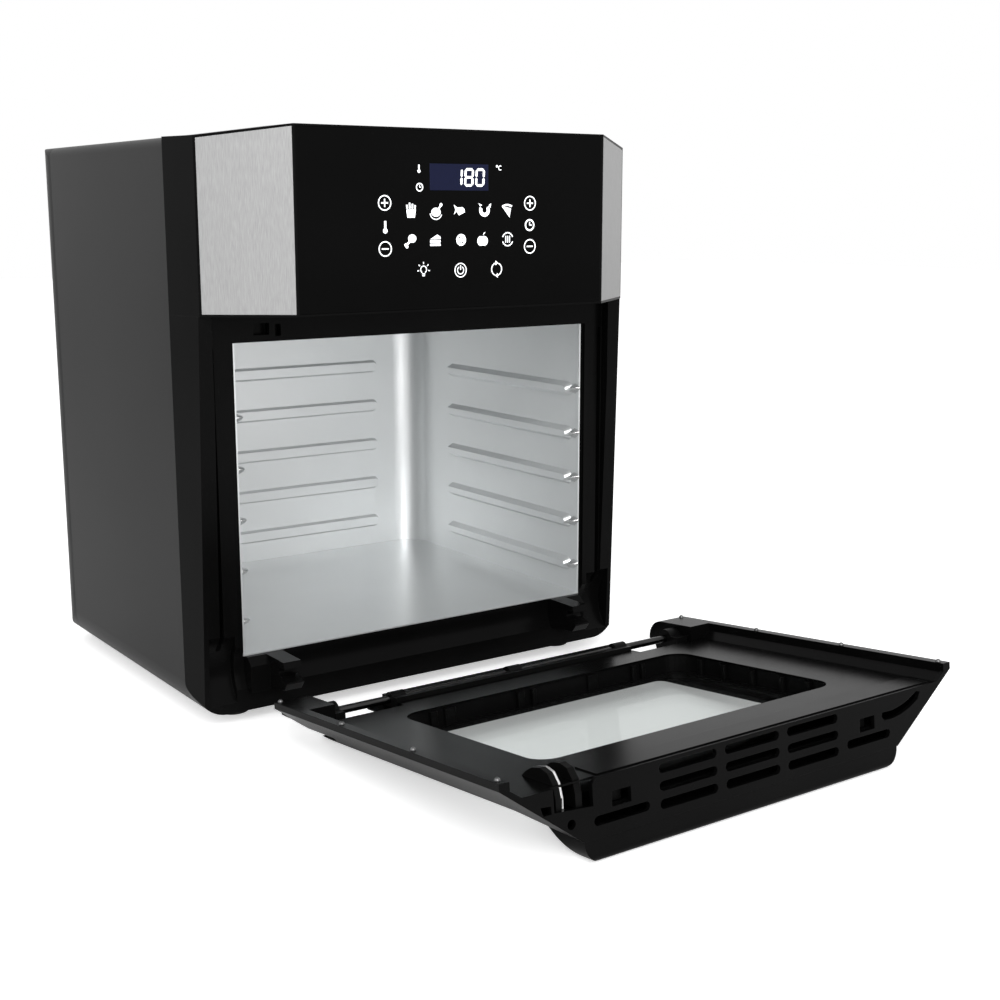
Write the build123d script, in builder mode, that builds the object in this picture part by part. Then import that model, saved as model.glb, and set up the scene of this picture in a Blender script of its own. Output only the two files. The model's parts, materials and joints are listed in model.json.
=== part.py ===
import os
from math import acos, asin, atan2, cos, degrees, hypot, radians, sin

from build123d import *

# A countertop air fryer oven of about twelve litres, with its door lifted off and laid in front.
# The oven's own frame: X to the right seen from the front, Y from the touch glass to the back, Z up.

# Oven, outside
oven_width = 331.0
oven_height = 365.4
oven_depth = 300.0
top_drop = 6.4
base_height = 8.0
lower_radius = 20.0
upper_radius = 6.0
rear_radius = 40.0
skin = 1.2

# Front, in plan: flat glass, slanted steel panels, arms that lead back to the side panels
glass_half = 113.0
slant_half = 158.8
slant_depth = 34.9
arm_depth = 63.6
panel_foot = 256.0
rim = 1.4
trim_thickness = 1.2
glass_thickness = 2.5
housing_wall = 2.6
display_width = 43.4
display_height = 16.2
display_centre = 336.8

# Front frame and cooking space
frame_depth = 44.9
opening_half = 135.1
opening_floor = 45.0
opening_ceiling = 238.8
frame_lip = 2.0
bezel_corner = 20.0
side_groove = 3.0
side_groove_depth = 8.0
catch_wide = (-114.7, 246.5)
catch_narrow = (-103.5, 245.5)
catch_height = 7.0
liner_half = 132.0
liner_floor = 44.0
liner_ceiling = 240.0
liner_back = 270.0
liner_corner = 20.0
sheet = 1.0

# Pressed tray rails and back ribs
rail_count = 5
rail_pitch = 32.0
rail_first = 63.9
rail_front = 54.0
rail_length = 160.0
rail_height = 10.0
rail_depth = 5.0
rib_depth = 3.0
rib_end = 97.6
stop_size = 9.0

# Hinge on the oven
rod_radius = 2.5
rod_half = 140.0
rod_fit = 0.05
rod_depth = 24.0
rod_height = 36.0
trough_radius = 25.0
pocket_radius = 30.0
pocket_inner = 139.0
pocket_outer = 157.5
bracket_inner = 107.0
bracket_step = 119.0
bracket_outer = 132.0
bracket_top = 43.0
bracket_bottom = 21.0
bracket_nose = 16.0
shoulder_front = 38.5
groove_fit = 0.4

# Door, measured from the hinge rod: x across, y from front to back, z up when shut
door_half = 164.0
door_top = 219.0
door_front = -20.0
door_back = 9.0
door_edge = 5.0
flare = 12.0
flare_height = 36.0
door_flat_half = 131.0
rim_inner = 158.0
ear_inner = 141.0
ear_outer = 154.5
ear_split = -16.0
panel_level = -4.5
shell_drop = 21.0
shell_round = 14.0
ear_drop = 27.0
ear_round = 13.0
door_wall = 2.5
window_half = 105.5
window_top = 171.0
window_bottom = 23.0
window_corner = 12.0
window_lip = 4.0
notch_inner = 94.0
notch_radius = 17.5
handle_half = 115.0
handle_reach = 12.0
handle_height = 30.0
pane_thickness = 3.0
fit = 0.3

# Air slots, latch windows and hooks at the door's top end
vent_pitch = 46.0
vent_length = 40.0
vent_row = 8.5
vent_slot = 4.6
vent_middle = -10.5
latch_window_x = 90.0
bend_start = (105.0, -9.5)
bend_middle = (122.0, -7.0)
bend_end = (136.0, 1.0)
hook_x = -121.0
hook_notch = 26.0

# Door as it lies in front of the oven
lie_x = 26.5
lie_y = -20.0

# Air system above the cooking space
fan_y = 158.0
hood_radius = 92.0
hood_height = 46.0
grille_radius = 82.0
fan_radius = 62.0
fan_height = 16.0
blade_count = 9
shaft_radius = 4.0
motor_radius = 27.0
motor_height = 42.0
element_radius = 72.0
element_tube = 3.2

# Spit drive on the left wall
drive_y = 150.0
drive_z = 143.9
drive_radius = 9.0
drive_socket = 8.0
drive_pin = 3.0
drive_case = 48.0
drive_ear = 19.0

# Feet
foot_x = 130.0
foot_front = 68.0
foot_back = 246.0
foot_radius = 11.0

half = oven_width / 2
body_top = oven_height - top_drop
wrap_back = oven_depth - rear_radius
pieces = {}


def front_plane(y):
    """A plane seen from the front: its x is X and its y is Z, at depth y."""
    return Plane.XZ.offset(-y)


def side_plane(x):
    """A plane seen from the right: its x is Y and its y is Z, at width x."""
    return Plane.YZ.offset(x)


def keep(builder, name):
    builder.part.label = name
    pieces[name] = builder.part


def body_block(y_front, y_back, inset, rear):
    """The oven body's outer form between two depths, shrunk by inset."""
    with BuildPart() as block:
        with BuildSketch(front_plane(y_front)) as profile:
            with Locations((0, (base_height + body_top) / 2)):
                Rectangle(oven_width - 2 * inset, body_top - base_height - 2 * inset)
            fillet(profile.vertices().group_by(Axis.Y)[0], lower_radius - inset)
            fillet(profile.vertices().group_by(Axis.Y)[-1], upper_radius - inset)
        extrude(amount=-(y_back - y_front))
        if rear > 0:
            with BuildSketch(Plane.XY.offset(base_height)) as plan:
                with Locations((0, (y_front + y_back) / 2)):
                    Rectangle(oven_width - 2 * inset, y_back - y_front)
                fillet(plan.vertices().group_by(Axis.Y)[-1], rear)
            extrude(amount=body_top - base_height, mode=Mode.INTERSECT)
    return block.part


# Outer wrap: one bent sheet over both sides and the top
wrap_outer = body_block(arm_depth, wrap_back, 0, 0)
wrap_inner = body_block(arm_depth, wrap_back, skin, 0)
base_half = half - lower_radius
with BuildPart() as outer_wrap:
    add(wrap_outer)
    add(wrap_inner, mode=Mode.SUBTRACT)
    with Locations((0, (arm_depth + wrap_back) / 2, base_height)):
        Box(2 * base_half, wrap_back - arm_depth, 4 * skin, mode=Mode.SUBTRACT)
keep(outer_wrap, "outer_wrap")

# Base pan: ribbed bottom plate between the wrap's lower bends
pan_pitch = 24.0
pan_row = 70.0
pan_slot_length = 34.0
pan_slot_width = 5.0
pan_rib_width = 3.0
pan_rib_height = 6.0
with BuildPart() as base_pan:
    with BuildSketch(Plane.XY.offset(base_height)):
        with Locations((0, (arm_depth + wrap_back) / 2)):
            Rectangle(2 * base_half, wrap_back - arm_depth)
    extrude(amount=2 * skin)
    with BuildSketch(Plane.XY.offset(base_height)):
        with Locations((0, (arm_depth + wrap_back) / 2)):
            with GridLocations(pan_pitch, pan_row, 9, 2):
                SlotOverall(pan_slot_length, pan_slot_width, rotation=90)
    extrude(amount=2 * skin, mode=Mode.SUBTRACT)
    with BuildSketch(Plane.XY.offset(base_height + 2 * skin)):
        with Locations((0, (arm_depth + wrap_back) / 2)):
            with GridLocations(0, pan_row, 1, 3):
                Rectangle(2 * base_half - 20, pan_rib_width)
    extrude(amount=pan_rib_height)
keep(base_pan, "base_pan")

# Rear cover: moulded back with round corners and air slots
cover_outer = body_block(wrap_back, oven_depth, 0, rear_radius - 4)
cover_inner = body_block(wrap_back - 1, oven_depth - 2 * skin, 2 * skin, rear_radius - 7)
gland_x = 110.0
gland_z = 60.0
gland_radius = 7.0
rear_pitch_x = 34.0
rear_pitch_z = 10.0
rear_slot_length = 28.0
rear_slot_width = 4.0
rear_slots_in = 70.0
with BuildPart() as rear_cover:
    add(cover_outer)
    add(cover_inner, mode=Mode.SUBTRACT)
    with BuildSketch(front_plane(oven_depth)):
        with Locations((0, body_top - rear_slots_in)):
            with GridLocations(rear_pitch_x, rear_pitch_z, 6, 6):
                SlotOverall(rear_slot_length, rear_slot_width)
        with Locations((0, base_height + rear_slots_in)):
            with GridLocations(rear_pitch_x, rear_pitch_z, 4, 4):
                SlotOverall(rear_slot_length, rear_slot_width)
        with Locations((gland_x, gland_z)):
            Circle(gland_radius + 1)
    extrude(amount=-4 * skin, both=True, mode=Mode.SUBTRACT)
keep(rear_cover, "rear_cover")

# Cord gland in the rear cover
gland_bore = 4.0
gland_reach = 6.0
collar_radius = 11.0
collar_depth = 3.0
with BuildPart() as cord_gland:
    with BuildSketch(front_plane(oven_depth + gland_reach)):
        with Locations((gland_x, gland_z)):
            Circle(gland_radius)
    extrude(amount=2 * gland_reach)
    with BuildSketch(front_plane(oven_depth + collar_depth)):
        with Locations((gland_x, gland_z)):
            Circle(collar_radius)
    extrude(amount=collar_depth)
    with BuildSketch(front_plane(oven_depth)):
        with Locations((gland_x, gland_z)):
            Circle(gland_bore)
    extrude(amount=2 * gland_reach, both=True, mode=Mode.SUBTRACT)
keep(cord_gland, "cord_gland")

# Front bezel: one moulding with the opening, the two arms and the hinge trough
with BuildPart() as front_bezel:
    with BuildSketch(Plane.XY.offset(base_height)):
        with BuildLine():
            Polyline(
                (0, frame_depth),
                (opening_half + 15, frame_depth),
                (opening_half + 15, slant_depth + 3),
                (slant_half, slant_depth),
                (half, arm_depth),
                (0, arm_depth),
                close=True,
            )
        make_face()
        mirror(about=Plane.YZ)
    extrude(amount=panel_foot - base_height)
    with BuildSketch(front_plane(0)) as outline:
        with Locations((0, (base_height + panel_foot) / 2)):
            Rectangle(oven_width, panel_foot - base_height)
        fillet(outline.vertices().group_by(Axis.Y)[0], bezel_corner)
    extrude(amount=-arm_depth, mode=Mode.INTERSECT)
    # The arms' front edges lean back towards the foot, which leaves room for the door's ears
    with BuildSketch(side_plane(-half)):
        with BuildLine():
            Polyline(
                (0, panel_foot),
                (slant_depth + 1, panel_foot),
                (frame_depth, base_height),
                (0, base_height),
                close=True,
            )
        make_face()
    extrude(amount=oven_width, mode=Mode.SUBTRACT)
    opening_height = opening_ceiling - opening_floor
    with BuildSketch(front_plane(0)):
        with Locations((0, opening_floor + opening_height / 2)):
            Rectangle(2 * opening_half, opening_height)
    extrude(amount=-(frame_depth + frame_lip), mode=Mode.SUBTRACT)
    with BuildSketch(front_plane(frame_depth + frame_lip)):
        with Locations((0, (liner_floor + liner_ceiling) / 2)):
            Rectangle(2 * (liner_half + sheet), liner_ceiling - liner_floor + 2 * sheet)
    extrude(amount=-arm_depth, mode=Mode.SUBTRACT)
    with BuildSketch(front_plane(0)):
        for side in (-1, 1):
            with Locations((side * (opening_half + 13), (opening_floor + opening_ceiling) / 2)):
                Rectangle(side_groove, opening_height - 6)
    extrude(amount=-(frame_depth + side_groove_depth), mode=Mode.SUBTRACT)
    with BuildSketch(side_plane(-pocket_outer)):
        with Locations((rod_depth, rod_height)):
            Circle(trough_radius)
    extrude(amount=2 * pocket_outer, mode=Mode.SUBTRACT)
    for side in (-1, 1):
        with BuildSketch(side_plane(side * (pocket_inner + pocket_outer) / 2)):
            with Locations((rod_depth, rod_height)):
                Circle(pocket_radius)
        extrude(amount=(pocket_outer - pocket_inner) / 2, both=True, mode=Mode.SUBTRACT)
    with BuildSketch(front_plane(0)):
        with Locations(catch_wide):
            Rectangle(10.5, catch_height)
        with Locations(catch_narrow):
            Rectangle(3.8, catch_height)
    extrude(amount=-(frame_depth + 6), mode=Mode.SUBTRACT)
keep(front_bezel, "front_bezel")

# Control housing: moulded hood with the slanted cheeks, hollow behind
with BuildPart() as control_housing:
    with BuildSketch(front_plane(0)):
        with BuildLine():
            Polyline(
                (0, panel_foot),
                (half, panel_foot),
                (half, body_top),
                (slant_half, body_top),
                (glass_half, oven_height),
                (0, oven_height),
                close=True,
            )
        make_face()
        mirror(about=Plane.YZ)
    extrude(amount=-arm_depth)
    with BuildSketch(Plane.XY.offset(panel_foot)):
        with BuildLine():
            Polyline(
                (0, 0),
                (glass_half, 0),
                (slant_half, slant_depth),
                (half, arm_depth),
                (0, arm_depth),
                close=True,
            )
        make_face()
        mirror(about=Plane.YZ)
    extrude(amount=oven_height, mode=Mode.INTERSECT)
    with BuildSketch(side_plane(-half)):
        with BuildLine():
            Polyline(
                (0, panel_foot),
                (arm_depth, panel_foot),
                (arm_depth, body_top),
                (slant_depth, oven_height),
                (0, oven_height),
                close=True,
            )
        make_face()
    extrude(amount=oven_width, mode=Mode.INTERSECT)
    with BuildSketch(Plane.XY.offset(panel_foot + housing_wall)):
        with BuildLine():
            Polyline(
                (0, 3 * housing_wall),
                (glass_half - housing_wall, 3 * housing_wall),
                (slant_half - 2 * housing_wall, slant_depth + housing_wall),
                (half - 2 * housing_wall, arm_depth),
                (0, arm_depth),
                close=True,
            )
        make_face()
        mirror(about=Plane.YZ)
    extrude(amount=body_top - panel_foot - 2.5 * housing_wall, mode=Mode.SUBTRACT)

# The control board stands on four bosses behind the hood's front wall
board_depth = 3 * housing_wall + 2
board_centre = 305.0
board_holes_x = 170.0
board_holes_z = 74.0
with control_housing:
    with BuildSketch(front_plane(2 * housing_wall)):
        with Locations((0, board_centre)):
            with GridLocations(board_holes_x, board_holes_z, 2, 2):
                Circle(3.5)
    extrude(amount=-(board_depth - 2 * housing_wall))

# The cheeks' slanted planes, the right one and its mirror image
slant_length = hypot(slant_half - glass_half, slant_depth)
slant_along = Vector(slant_half - glass_half, slant_depth, 0).normalized()
cheek = Plane(
    origin=(glass_half, 0, panel_foot),
    x_dir=(slant_along.X, slant_along.Y, 0),
    z_dir=(slant_along.Y, -slant_along.X, 0),
)


def cheek_sketch(gap):
    """The steel panel's outline on the right cheek, shrunk by gap."""
    with BuildSketch(cheek) as outline:
        with BuildLine():
            Polyline(
                (rim / 2 + gap, rim + gap),
                (slant_length - rim - gap, rim + gap),
                (slant_length - rim - gap, body_top - panel_foot - rim - gap),
                (rim / 2 + gap, oven_height - panel_foot - rim - gap),
                close=True,
            )
        make_face()
    return outline.sketch


trim_pocket = extrude(cheek_sketch(0), amount=-trim_thickness)
trim_right = extrude(cheek_sketch(fit / 3), amount=-trim_thickness)
with control_housing:
    add(trim_pocket, mode=Mode.SUBTRACT)
    add(trim_pocket.mirror(Plane.YZ), mode=Mode.SUBTRACT)
    with BuildSketch(front_plane(0)):
        with Locations((0, (panel_foot + oven_height) / 2)):
            Rectangle(2 * (glass_half - rim), oven_height - panel_foot - 2 * rim)
    extrude(amount=-glass_thickness, mode=Mode.SUBTRACT)
    with BuildSketch(front_plane(0)):
        with Locations((0, display_centre)):
            Rectangle(display_width + 2, display_height + 2)
    extrude(amount=-4 * housing_wall, mode=Mode.SUBTRACT)
keep(control_housing, "control_housing")

with BuildPart() as steel_panel_right:
    add(trim_right)
keep(steel_panel_right, "steel_panel_right")

with BuildPart() as steel_panel_left:
    add(trim_right.mirror(Plane.YZ))
keep(steel_panel_left, "steel_panel_left")

# Touch glass, with the display window's pane set into it
with BuildPart() as touch_glass:
    with BuildSketch(front_plane(0)):
        with Locations((0, (panel_foot + oven_height) / 2)):
            Rectangle(2 * (glass_half - rim) - fit, oven_height - panel_foot - 2 * rim - fit)
        with Locations((0, display_centre)):
            Rectangle(display_width, display_height, mode=Mode.SUBTRACT)
    extrude(amount=-glass_thickness)
keep(touch_glass, "touch_glass")

with BuildPart() as display_module:
    with BuildSketch(front_plane(0)):
        with Locations((0, display_centre)):
            Rectangle(display_width - fit, display_height - fit)
    extrude(amount=-board_depth)
keep(display_module, "display_module")

board_width = 180.0
board_height = 84.0
board_sheet = 1.6
chip_depth = 9.0
with BuildPart() as control_board:
    with BuildSketch(front_plane(board_depth)):
        with Locations((0, board_centre)):
            Rectangle(board_width, board_height)
            with GridLocations(board_holes_x, board_holes_z, 2, 2):
                Circle(1.6, mode=Mode.SUBTRACT)
    extrude(amount=-board_sheet)
    with BuildSketch(front_plane(board_depth + board_sheet)):
        with Locations((-50, 285), (45, 290)):
            Rectangle(24, 18)
        with Locations((0, 280)):
            Rectangle(14, 14)
    extrude(amount=-chip_depth)
keep(control_board, "control_board")


# Cooking space: side walls with pressed rails
def rail_levels():
    return [rail_first + rail_pitch * step for step in range(rail_count)]


def side_wall(side):
    """One liner wall, with its rails pressed inwards from outside."""
    inner = side * liner_half
    outward = side_plane(inner)
    front = frame_depth + frame_lip
    back = liner_back - liner_corner
    rail_middle = rail_front + rail_length / 2
    with BuildPart() as wall:
        with BuildSketch(outward):
            with Locations(((front + back) / 2, (liner_floor + liner_ceiling) / 2)):
                Rectangle(back - front, liner_ceiling - liner_floor)
        extrude(amount=side * sheet)
        for level in rail_levels():
            with BuildSketch(outward):
                with Locations((rail_middle, level)):
                    SlotOverall(rail_length, rail_height)
            extrude(amount=-side * rail_depth, taper=28)
        for level in rail_levels():
            with BuildSketch(side_plane(inner + side * sheet)):
                with Locations((rail_middle, level)):
                    SlotOverall(rail_length - 2 * sheet, rail_height - sheet)
            extrude(amount=-side * rail_depth, taper=28, mode=Mode.SUBTRACT)
        if side < 0:
            with BuildSketch(outward):
                with Locations((drive_y, drive_z)):
                    Circle(drive_radius + 1)
            extrude(amount=side * sheet, both=True, mode=Mode.SUBTRACT)
    return wall


keep(side_wall(-1), "cavity_left_wall")
keep(side_wall(1), "cavity_right_wall")

# Back wall: its ends bend round to meet the side walls, with pressed ribs
with BuildPart() as cavity_back_wall:
    bend_front = liner_back - liner_corner
    with BuildSketch(Plane.XY.offset(liner_floor)) as bent:
        with Locations((0, bend_front + (liner_corner + sheet) / 2)):
            Rectangle(2 * (liner_half + sheet), liner_corner + sheet)
        fillet(bent.vertices().group_by(Axis.Y)[-1], liner_corner)
        with BuildSketch(mode=Mode.SUBTRACT) as hollow:
            with Locations((0, bend_front + liner_corner / 2)):
                Rectangle(2 * liner_half, liner_corner)
            fillet(hollow.vertices().group_by(Axis.Y)[-1], liner_corner - sheet)
    extrude(amount=liner_ceiling - liner_floor)
    rib_length = rib_end + liner_half - liner_corner - 6
    rib_middle = rib_end - rib_length / 2
    for level in rail_levels():
        with BuildSketch(front_plane(liner_back)):
            with Locations((rib_middle, level)):
                SlotOverall(rib_length, rail_height)
        extrude(amount=rib_depth, taper=28)
    for level in rail_levels():
        with BuildSketch(front_plane(liner_back + sheet)):
            with Locations((rib_middle, level)):
                SlotOverall(rib_length - 2 * sheet, rail_height - sheet)
        extrude(amount=rib_depth, taper=28, mode=Mode.SUBTRACT)
keep(cavity_back_wall, "cavity_back_wall")

# Small stops that close the rails' front ends
with BuildPart() as rail_stops:
    for side in (-1, 1):
        for level in rail_levels():
            with BuildSketch(side_plane(side * liner_half)):
                with BuildLine():
                    Polyline(
                        (rail_front - 1, level + stop_size / 2),
                        (rail_front - 1, level - stop_size / 2),
                        (rail_front - 1 - stop_size, level + stop_size / 4),
                        close=True,
                    )
                stop = make_face()
                fillet(stop.vertices(), 1.5)
            extrude(amount=-side * rail_depth, taper=20)
keep(rail_stops, "rail_stops")

# Floor and ceiling plates follow the rounded back corners
with BuildPart() as cavity_floor:
    plate_front = frame_depth + frame_lip
    with BuildSketch(Plane.XY.offset(liner_floor)) as plate:
        with Locations((0, (plate_front + liner_back + sheet) / 2)):
            Rectangle(2 * (liner_half + sheet), liner_back + sheet - plate_front)
        fillet(plate.vertices().group_by(Axis.Y)[-1], liner_corner)
    extrude(amount=-sheet)
keep(cavity_floor, "cavity_floor")

lamp_x = 100.0
lamp_y = 92.0
lamp_radius = 15.0
with BuildPart() as cavity_ceiling:
    with BuildSketch(Plane.XY.offset(liner_ceiling)) as plate:
        with Locations((0, (plate_front + liner_back + sheet) / 2)):
            Rectangle(2 * (liner_half + sheet), liner_back + sheet - plate_front)
        fillet(plate.vertices().group_by(Axis.Y)[-1], liner_corner)
        with Locations((0, fan_y)):
            Circle(grille_radius, mode=Mode.SUBTRACT)
        with Locations((lamp_x, lamp_y)):
            Circle(lamp_radius, mode=Mode.SUBTRACT)
    extrude(amount=sheet)
keep(cavity_ceiling, "cavity_ceiling")

# Lamp: glass lens from below, holder above
with BuildPart() as lamp_lens:
    with BuildSketch(Plane.XY.offset(liner_ceiling - 2)):
        with Locations((lamp_x, lamp_y)):
            Circle(lamp_radius - fit)
    extrude(amount=2 + sheet)
    fillet(lamp_lens.faces().sort_by(Axis.Z)[0].edges(), 1.5)
keep(lamp_lens, "lamp_lens")

with BuildPart() as lamp_holder:
    with BuildSketch(Plane.XY.offset(liner_ceiling + sheet)):
        with Locations((lamp_x, lamp_y)):
            Circle(lamp_radius + 3)
    extrude(amount=24, taper=12)
keep(lamp_holder, "lamp_holder")

# Grille under the fan: rings of slots between radial webs
with BuildPart() as fan_grille:
    with BuildSketch(Plane.XY.offset(liner_ceiling + sheet)):
        with Locations((0, fan_y)):
            Circle(grille_radius + 4)
            Circle(10, mode=Mode.SUBTRACT)
            for ring, slots in ((24, 8), (40, 12), (56, 16), (72, 20)):
                with PolarLocations(ring, slots):
                    SlotOverall(12, 5, rotation=90, mode=Mode.SUBTRACT)
    extrude(amount=sheet)
keep(fan_grille, "fan_grille")

# Hood round the heater and the fan
hood_floor = liner_ceiling + sheet
with BuildPart() as fan_hood:
    with BuildSketch(Plane.XY.offset(hood_floor)):
        with Locations((0, fan_y)):
            Circle(hood_radius)
    extrude(amount=hood_height)
    with BuildSketch(Plane.XY.offset(hood_floor)):
        with Locations((0, fan_y)):
            Circle(hood_radius - sheet)
    extrude(amount=hood_height - sheet, mode=Mode.SUBTRACT)
    with BuildSketch(Plane.XY.offset(hood_floor)):
        with Locations((0, fan_y)):
            Circle(shaft_radius + 2)
    extrude(amount=hood_height, mode=Mode.SUBTRACT)
keep(fan_hood, "fan_hood")

# Tubular heating element: an open ring whose two leads pass out through the hood
element_z = hood_floor + 10
lead_x = 12.0
lead_radius = element_tube - 0.3
lead_angle = degrees(asin(lead_x / element_radius))
lead_start = fan_y - hood_radius + 2
lead_end = fan_y - element_radius * cos(radians(lead_angle)) + 2
with BuildPart() as element_ring:
    with BuildSketch(front_plane(fan_y)):
        with Locations((element_radius, element_z)):
            Circle(element_tube)
    revolve(axis=Axis((0, fan_y, 0), (0, 0, 1)), revolution_arc=360 - 2 * lead_angle)
with BuildPart() as heating_element:
    add(element_ring.part.rotate(Axis((0, fan_y, 0), (0, 0, 1)), lead_angle - 90))
    lead_middle = (lead_start + lead_end) / 2
    with Locations((-lead_x, lead_middle, element_z), (lead_x, lead_middle, element_z)):
        Cylinder(lead_radius, lead_end - lead_start, rotation=(90, 0, 0))
keep(heating_element, "heating_element")

# Convection fan: a disc with bent blades below it
fan_z = element_z + 8
with BuildPart() as fan_blade:
    with BuildSketch(Plane.XY.offset(fan_z + fan_height)):
        with Locations((0, fan_y)):
            Circle(fan_radius * 0.62)
    extrude(amount=1.2)
    with BuildSketch(Plane.XY.offset(fan_z)):
        with Locations((0, fan_y)):
            Circle(shaft_radius + 5)
    extrude(amount=fan_height)
    with BuildSketch(Plane.XY.offset(fan_z)):
        with Locations((0, fan_y)):
            with PolarLocations(fan_radius * 0.6, blade_count):
                Rectangle(fan_radius * 0.62, 1.6, rotation=32)
    extrude(amount=fan_height + 1.2)
    with BuildSketch(Plane.XY.offset(fan_z + 2)):
        with Locations((0, fan_y)):
            Circle(shaft_radius)
    extrude(amount=fan_height, mode=Mode.SUBTRACT)
keep(fan_blade, "fan_blade")

# The motor's shaft turns in the motor and carries the fan
motor_z = hood_floor + hood_height + 4
with BuildPart() as fan_shaft:
    with BuildSketch(Plane.XY.offset(fan_z + 2)):
        with Locations((0, fan_y)):
            Circle(shaft_radius)
    extrude(amount=motor_z - fan_z + 18)
keep(fan_shaft, "fan_shaft")

with BuildPart() as fan_motor:
    with BuildSketch(Plane.XY.offset(motor_z)):
        with Locations((0, fan_y)):
            Circle(motor_radius)
    extrude(amount=motor_height)
    with BuildSketch(Plane.XY.offset(motor_z)):
        with Locations((0, fan_y)):
            Rectangle(2 * motor_radius + 24, 14)
    extrude(amount=2)
    with BuildSketch(Plane.XY.offset(motor_z)):
        with Locations((0, fan_y)):
            Circle(shaft_radius + rod_fit)
    extrude(amount=24, mode=Mode.SUBTRACT)
keep(fan_motor, "fan_motor")

with BuildPart() as motor_bracket:
    with BuildSketch(front_plane(fan_y - 8)):
        with Locations((0, motor_z - 1)):
            Rectangle(2 * motor_radius + 24, 2)
        for side in (-1, 1):
            with Locations((side * (motor_radius + 11), motor_z - 3)):
                Rectangle(2, 2)
    extrude(amount=-16)
    with Locations((0, fan_y, motor_z)):
        Cylinder(shaft_radius + 2, 12, mode=Mode.SUBTRACT)
keep(motor_bracket, "motor_bracket")

# Spit drive: a socket that turns in the left wall, and its geared motor outside
drive_plane = side_plane(-liner_half)
with BuildPart() as spit_socket:
    with BuildSketch(drive_plane):
        with Locations((drive_y, drive_z)):
            Circle(drive_radius)
    extrude(amount=8, both=True)
    with BuildSketch(drive_plane):
        with Locations((drive_y, drive_z)):
            Rectangle(drive_socket, drive_socket)
    extrude(amount=8, mode=Mode.SUBTRACT)
    with BuildSketch(side_plane(-liner_half - 8)):
        with Locations((drive_y, drive_z)):
            Circle(drive_pin)
    extrude(amount=-8)
keep(spit_socket, "spit_socket")

with BuildPart() as spit_motor:
    with BuildSketch(side_plane(-liner_half - 8.5)):
        with Locations((drive_y, drive_z)):
            RectangleRounded(drive_case, drive_case, 6)
    extrude(amount=-18)
    with BuildSketch(side_plane(-liner_half - sheet)):
        with Locations((drive_y - drive_ear, drive_z), (drive_y + drive_ear, drive_z)):
            Circle(drive_pin)
    extrude(amount=-8)
    with BuildSketch(side_plane(-liner_half - 8.5)):
        with Locations((drive_y, drive_z)):
            Circle(drive_pin + rod_fit)
    extrude(amount=-10, mode=Mode.SUBTRACT)
keep(spit_motor, "spit_motor")

# Hinge brackets: a hook for the rod, and a lower shoulder with a bevelled top
mouth_slope = (rod_height - bracket_bottom) / (rod_depth * 2)


def hinge_bracket(side):
    groove = rod_radius + groove_fit
    root = rod_depth + trough_radius
    with BuildPart() as bracket:
        with BuildSketch(side_plane(side * bracket_inner)):
            with BuildLine():
                Polyline(
                    (root, bracket_bottom),
                    (bracket_nose + 4, bracket_bottom + 4),
                    (bracket_nose, bracket_bottom + 9),
                    (bracket_nose + 4, bracket_top),
                    (root, bracket_top),
                    close=True,
                )
            make_face()
            with BuildLine():
                Polyline(
                    (rod_depth, rod_height + groove),
                    (rod_depth - 20, rod_height + groove - 1),
                    (rod_depth - 20, rod_height - groove - 20 * mouth_slope),
                    (rod_depth, rod_height - groove),
                    close=True,
                )
            make_face(mode=Mode.SUBTRACT)
            with Locations((rod_depth, rod_height)):
                Circle(groove, mode=Mode.SUBTRACT)
        extrude(amount=side * (bracket_step - bracket_inner))
        with BuildSketch(side_plane(side * bracket_step)):
            with BuildLine():
                Polyline(
                    (root, bracket_bottom),
                    (shoulder_front, bracket_bottom),
                    (shoulder_front, bracket_top - 5),
                    (shoulder_front + 5, bracket_top),
                    (root, bracket_top),
                    close=True,
                )
            make_face()
        extrude(amount=side * (bracket_outer - bracket_step))
        with BuildSketch(side_plane(0)):
            with Locations((rod_depth, rod_height)):
                Circle(trough_radius)
        extrude(amount=half, both=True, mode=Mode.INTERSECT)
    return bracket


keep(hinge_bracket(-1), "hinge_bracket_left")
keep(hinge_bracket(1), "hinge_bracket_right")

# Feet
for name, x, y in (
    ("foot_front_left", -foot_x, foot_front + 4),
    ("foot_front_right", foot_x, foot_front + 4),
    ("foot_back_left", -foot_x, foot_back),
    ("foot_back_right", foot_x, foot_back),
):
    with BuildPart() as foot:
        with BuildSketch(Plane.XY.offset(base_height)):
            with Locations((x, y)):
                Circle(foot_radius)
        extrude(amount=-base_height, taper=6)
        fillet(foot.faces().sort_by(Axis.Z)[0].edges(), 1)
    keep(foot, name)

# Door pieces stand in the door's frame: z up when shut, y to the oven, the rod at the origin
door_pieces = {}


def keep_door(builder, name):
    builder.part.label = name
    door_pieces[name] = builder.part


slant = (door_edge - door_front) / (door_half - door_flat_half)
flat_top_half = door_flat_half - flare / slant
wall_rise = door_wall * hypot(1, slant)


def slant_x(y, rise):
    """Where the slanted side, moved inwards by rise, crosses the level y."""
    return door_flat_half + (y - rise - door_front) / slant


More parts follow.
